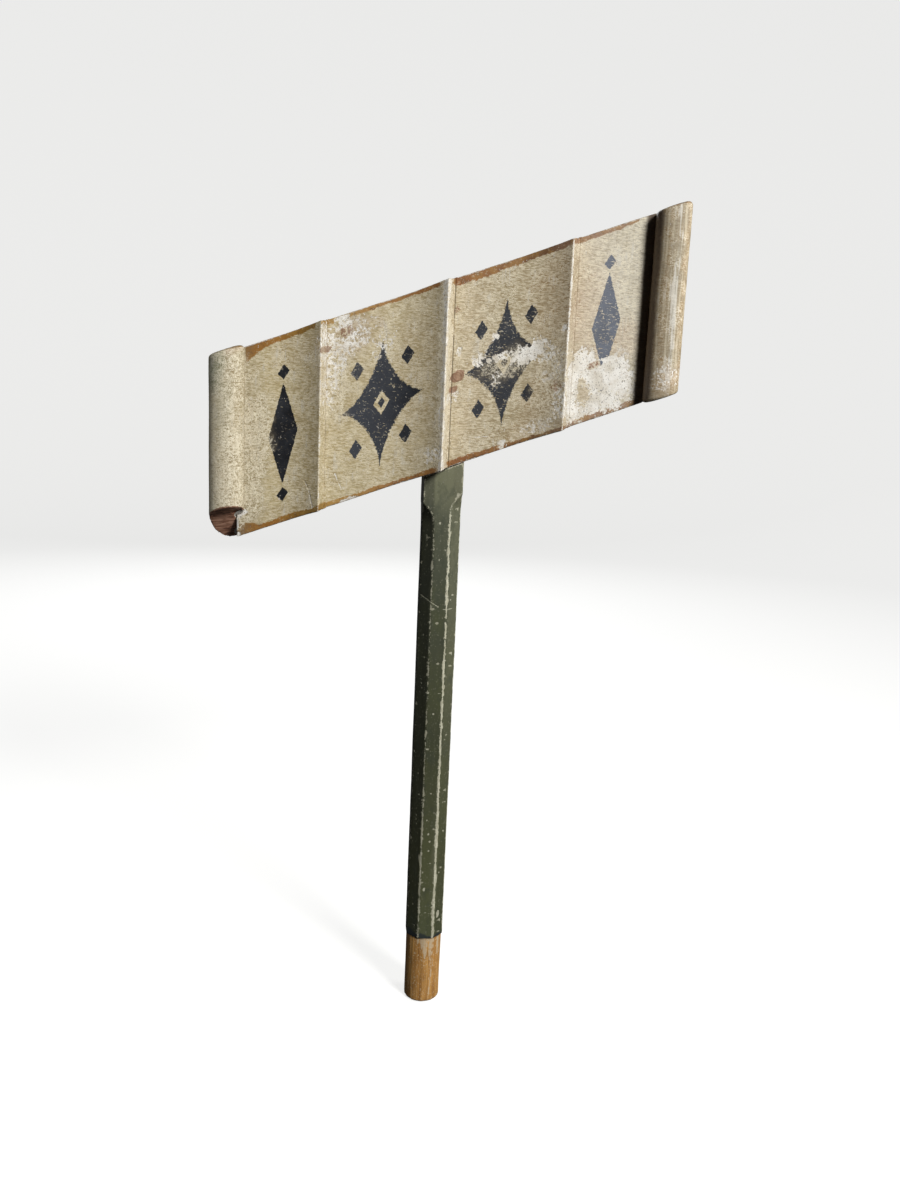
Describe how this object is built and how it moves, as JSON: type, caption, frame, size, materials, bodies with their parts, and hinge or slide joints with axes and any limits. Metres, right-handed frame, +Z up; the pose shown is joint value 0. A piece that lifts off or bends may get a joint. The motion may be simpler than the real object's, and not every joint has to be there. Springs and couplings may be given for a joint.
{
  "type": "processional title board",
  "caption": "Carved wooden scroll board with hollowed panels and rolled ends, slanting up to the right on a straight octagonal post that ends in a round spigot.",
  "frame": {"origin": "on the post's axis, at the shoulder above the spigot", "axes": "+Z up the post, +X to the right of someone facing the painted front, +Y away from them"},
  "size_m": [0.4376, 0.0674, 0.8146],
  "materials": {
    "painted_gesso": "aged cream oil paint on gesso over wood, crackled and worn",
    "green_wood": "worn dark green paint over gesso on wood, bare wood on the spigot",
    "old_iron": "darkened iron with light rust",
    "filler": "worn reddish filler, matte"
  },
  "bodies": {
    "root": {"panel_1": "painted_gesso", "panel_2": "painted_gesso", "panel_3": "painted_gesso", "panel_4": "painted_gesso", "left_roll": "painted_gesso", "right_roll": "painted_gesso", "post": "green_wood", "front_screws": "old_iron", "back_screws": "old_iron", "screw_plugs": "filler"}
  },
  "joints": []
}
